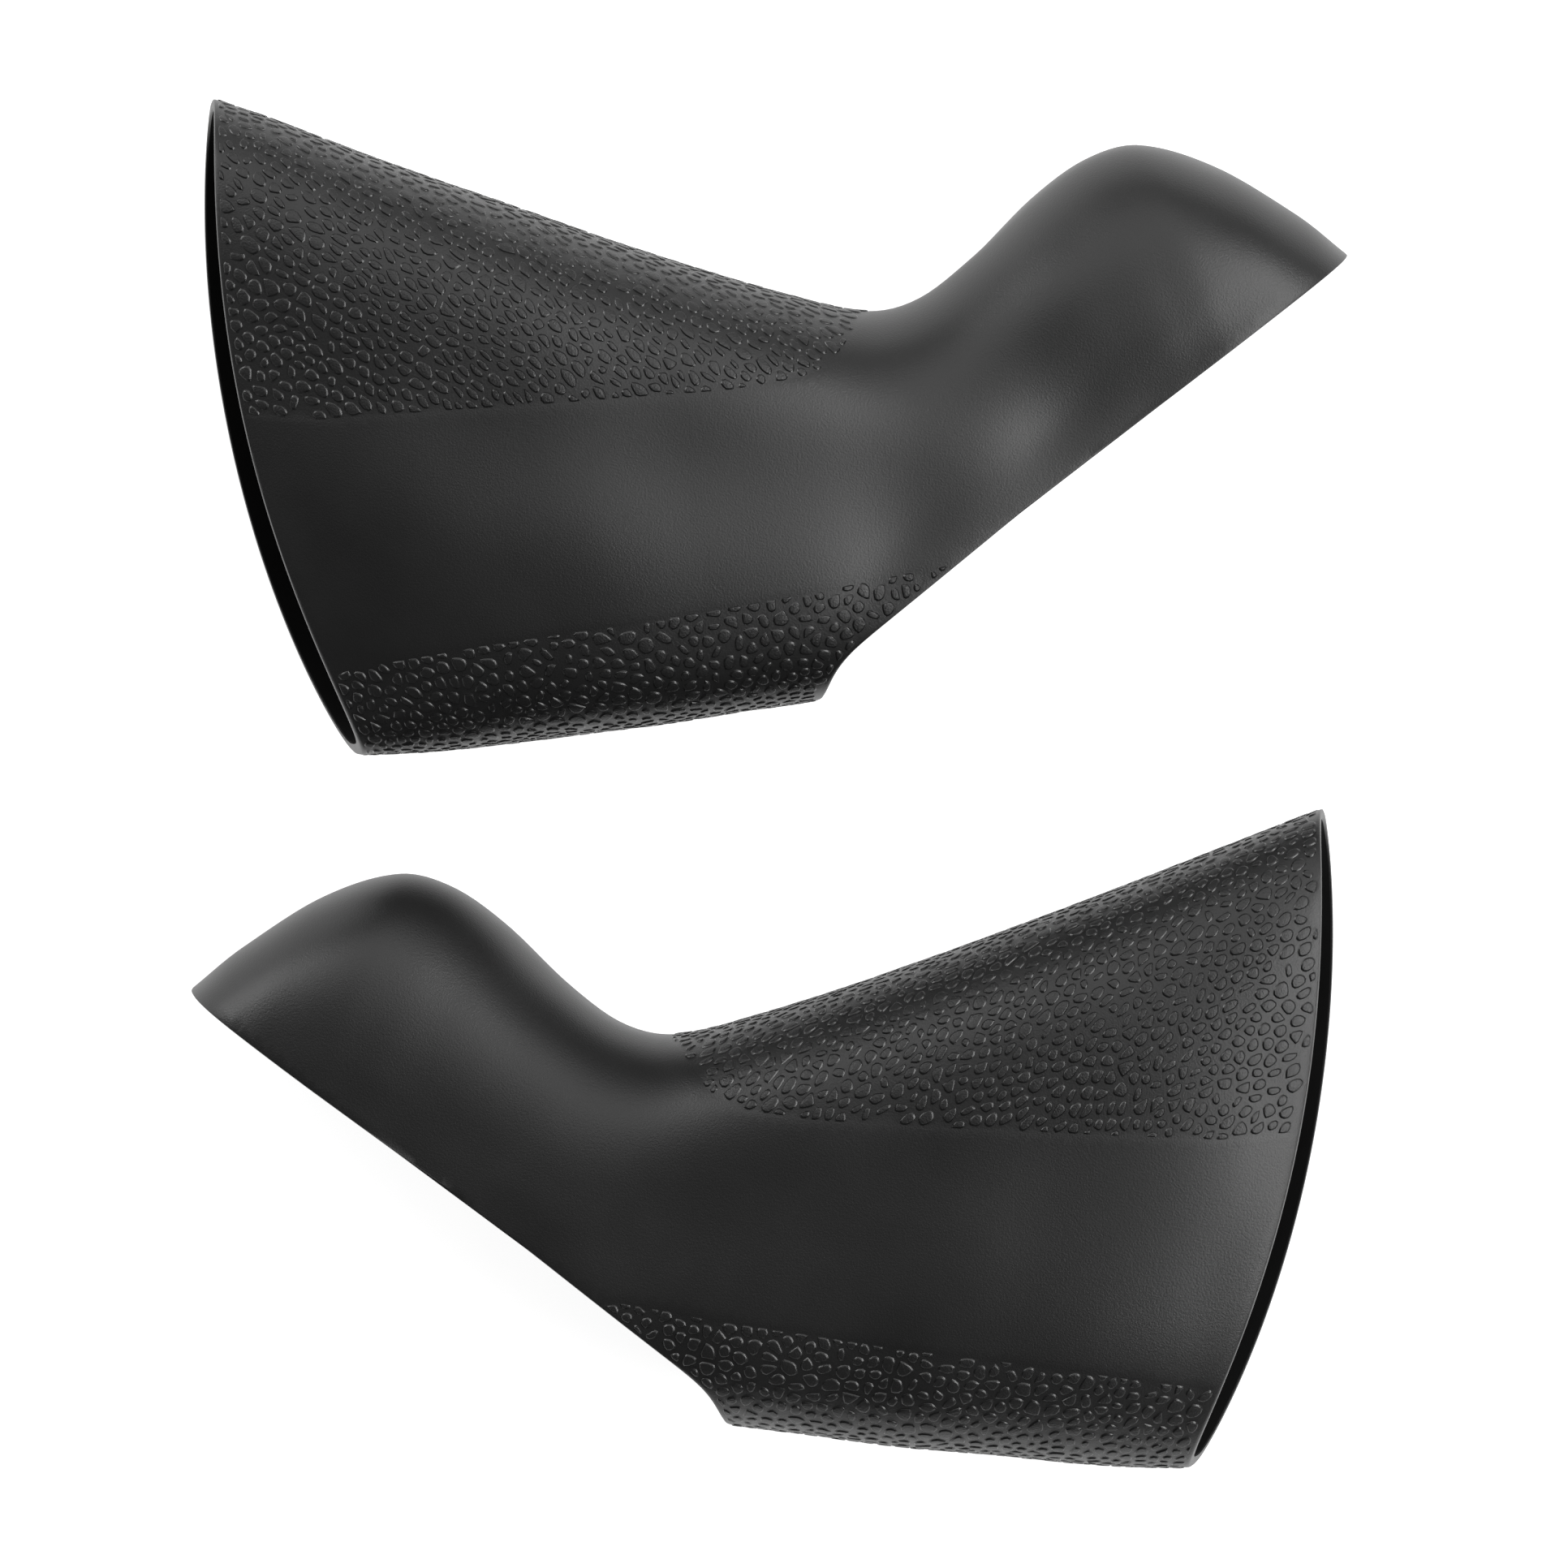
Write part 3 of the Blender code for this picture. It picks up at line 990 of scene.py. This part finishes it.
def black_rubber():
    """Black moulded rubber with a satin sheen: a fine grain, coarser on pebble tops, and glossier edges."""
    material = bpy.data.materials.new("black_rubber")
    material.use_nodes = True
    nodes, links = material.node_tree.nodes, material.node_tree.links
    shader = nodes["Principled BSDF"]
    shader.inputs["Metallic"].default_value = 0.0
    shader.inputs["IOR"].default_value = 1.5
    place = nodes.new("ShaderNodeTexCoord")
    clouds = noise(nodes, links, place, 90.0, 4.0)
    colour = socket_range(nodes, 0.004, 0.009)
    links.new(clouds.outputs["Fac"], colour.inputs["Value"])
    links.new(colour.outputs["Result"], shader.inputs["Base Color"])
    finish = nodes.new("ShaderNodeAttribute")
    finish.attribute_name = "finish"
    polish = socket_range(nodes, 0.22, 0.40)
    links.new(finish.outputs["Fac"], polish.inputs["Value"])
    cloudy = nodes.new("ShaderNodeMath")
    cloudy.operation = "MULTIPLY_ADD"
    cloudy.inputs[1].default_value = 0.08
    links.new(clouds.outputs["Fac"], cloudy.inputs[0])
    links.new(polish.outputs["Result"], cloudy.inputs[2])
    links.new(cloudy.outputs["Value"], shader.inputs["Roughness"])
    grain = noise(nodes, links, place, 5000.0, 2.0)
    coarse = socket_range(nodes, 0.1, 1.0)
    coarse.inputs["From Max"].default_value = PEBBLE_TOP
    links.new(finish.outputs["Fac"], coarse.inputs["Value"])
    height = nodes.new("ShaderNodeMath")
    height.operation = "MULTIPLY"
    links.new(grain.outputs["Fac"], height.inputs[0])
    links.new(coarse.outputs["Result"], height.inputs[1])
    bump = nodes.new("ShaderNodeBump")
    bump.inputs["Strength"].default_value = 1.0
    bump.inputs["Distance"].default_value = 0.00005
    links.new(height.outputs["Value"], bump.inputs["Height"])
    links.new(bump.outputs["Normal"], shader.inputs["Normal"])
    return material


def inside_painted_shade():
    """The rubber of the inner skin, dull and without any grain, and darker and less shiny than the outer
    rubber: painted shade for the hood's dark inside.
    """
    material = bpy.data.materials.new("black_rubber_painted_shade")
    material.use_nodes = True
    nodes, links = material.node_tree.nodes, material.node_tree.links
    shader = nodes["Principled BSDF"]
    shader.inputs["Metallic"].default_value = 0.0
    shader.inputs["Roughness"].default_value = 0.9
    shader.inputs["Specular IOR Level"].default_value = 0.1
    place = nodes.new("ShaderNodeTexCoord")
    clouds = noise(nodes, links, place, 150.0, 3.0)
    # A darker base colour than the outer rubber's, with a low specular level above: painted shade.
    colour = socket_range(nodes, 0.003, 0.006)
    links.new(clouds.outputs["Fac"], colour.inputs["Value"])
    links.new(colour.outputs["Result"], shader.inputs["Base Color"])
    return material


# ---------------------------------------------------------------- floor, light and camera

def plain_floor():
    """A wide white floor, just below the pair."""
    half, level = 1.5, -0.0002
    corners = [(x * half, y * half, level) for x, y in ((-1, -1), (1, -1), (1, 1), (-1, 1))]
    data = bpy.data.meshes.new("floor")
    data.from_pydata(corners, [], [(0, 1, 2, 3)])
    floor = bpy.data.objects.new("floor", data)
    bpy.context.collection.objects.link(floor)
    material = bpy.data.materials.new("floor_white")
    material.use_nodes = True
    shader = material.node_tree.nodes["Principled BSDF"]
    shader.inputs["Base Color"].default_value = (0.4, 0.4, 0.4, 1.0)
    shader.inputs["Roughness"].default_value = 0.9
    shader.inputs["Emission Color"].default_value = (1.0, 1.0, 1.0, 1.0)
    shader.inputs["Emission Strength"].default_value = 0.92
    data.materials.append(material)


def soft_light(name, place, size, power):
    """A rectangular area light that points at the middle of the pair."""
    data = bpy.data.lights.new(name, "AREA")
    data.shape = "RECTANGLE"
    data.size, data.size_y = size
    data.energy = power
    light = bpy.data.objects.new(name, data)
    light.location = place
    light.rotation_euler = (-light.location).to_track_quat("-Z", "Y").to_euler()
    bpy.context.collection.objects.link(light)


def studio():
    """Panels behind the pair, above it, at its right, where it is strongest, and low at its left."""
    soft_light("back_panel", (-0.1, 0.8, 0.75), (1.2, 0.7), 4.5)
    soft_light("top_panel", (0.4, 0.45, 1.5), (1.0, 0.9), 2.5)
    soft_light("right_panel", (0.8, 0.06, 0.86), (1.3, 0.4), 15.5)
    soft_light("left_panel", (-0.9, 0.7, 0.42), (0.5, 0.5), 6.0)
    world = bpy.data.worlds.new("surround")
    world.use_nodes = True
    world.node_tree.nodes["Background"].inputs["Color"].default_value = (1.0, 1.0, 1.0, 1.0)
    world.node_tree.nodes["Background"].inputs["Strength"].default_value = 0.08
    bpy.context.scene.world = world


def camera():
    """A long-lens camera straight above the pair, framed at the height of the hoods' middle."""
    data = bpy.data.cameras.new("camera")
    data.sensor_width = 36.0
    data.lens = 300.0
    frame_width, frame_level, frame_middle = 0.16455, 0.016, 0.00153
    height = frame_level + frame_width * data.lens / data.sensor_width
    piece = bpy.data.objects.new("camera", data)
    piece.location = (frame_middle, 0.0, height)
    bpy.context.collection.objects.link(piece)
    bpy.context.scene.camera = piece


# ---------------------------------------------------------------- the pair

# Each hood's node name, its side (-1 is mirrored), its turn in degrees and its seed.
PAIR = (("hood_right", 1, 0.0, PEBBLE_SEED), ("hood_left", -1, LEFT_TURN, PEBBLE_SEED + 1))

camera()
plain_floor()
studio()
rubber = black_rubber()
# The inner skin's material is darker and duller than the outer rubber: painted shade inside the hood.
inside = inside_painted_shade()
for name, side, turn, seed in PAIR:
    hood = make_hood(name, side, turn, seed)
    hood.data.materials.append(rubber)
    hood.data.materials.append(inside)
    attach(hood, name.removeprefix("hood_"))
    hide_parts(name)
bpy.context.scene.view_settings.view_transform = "Standard"
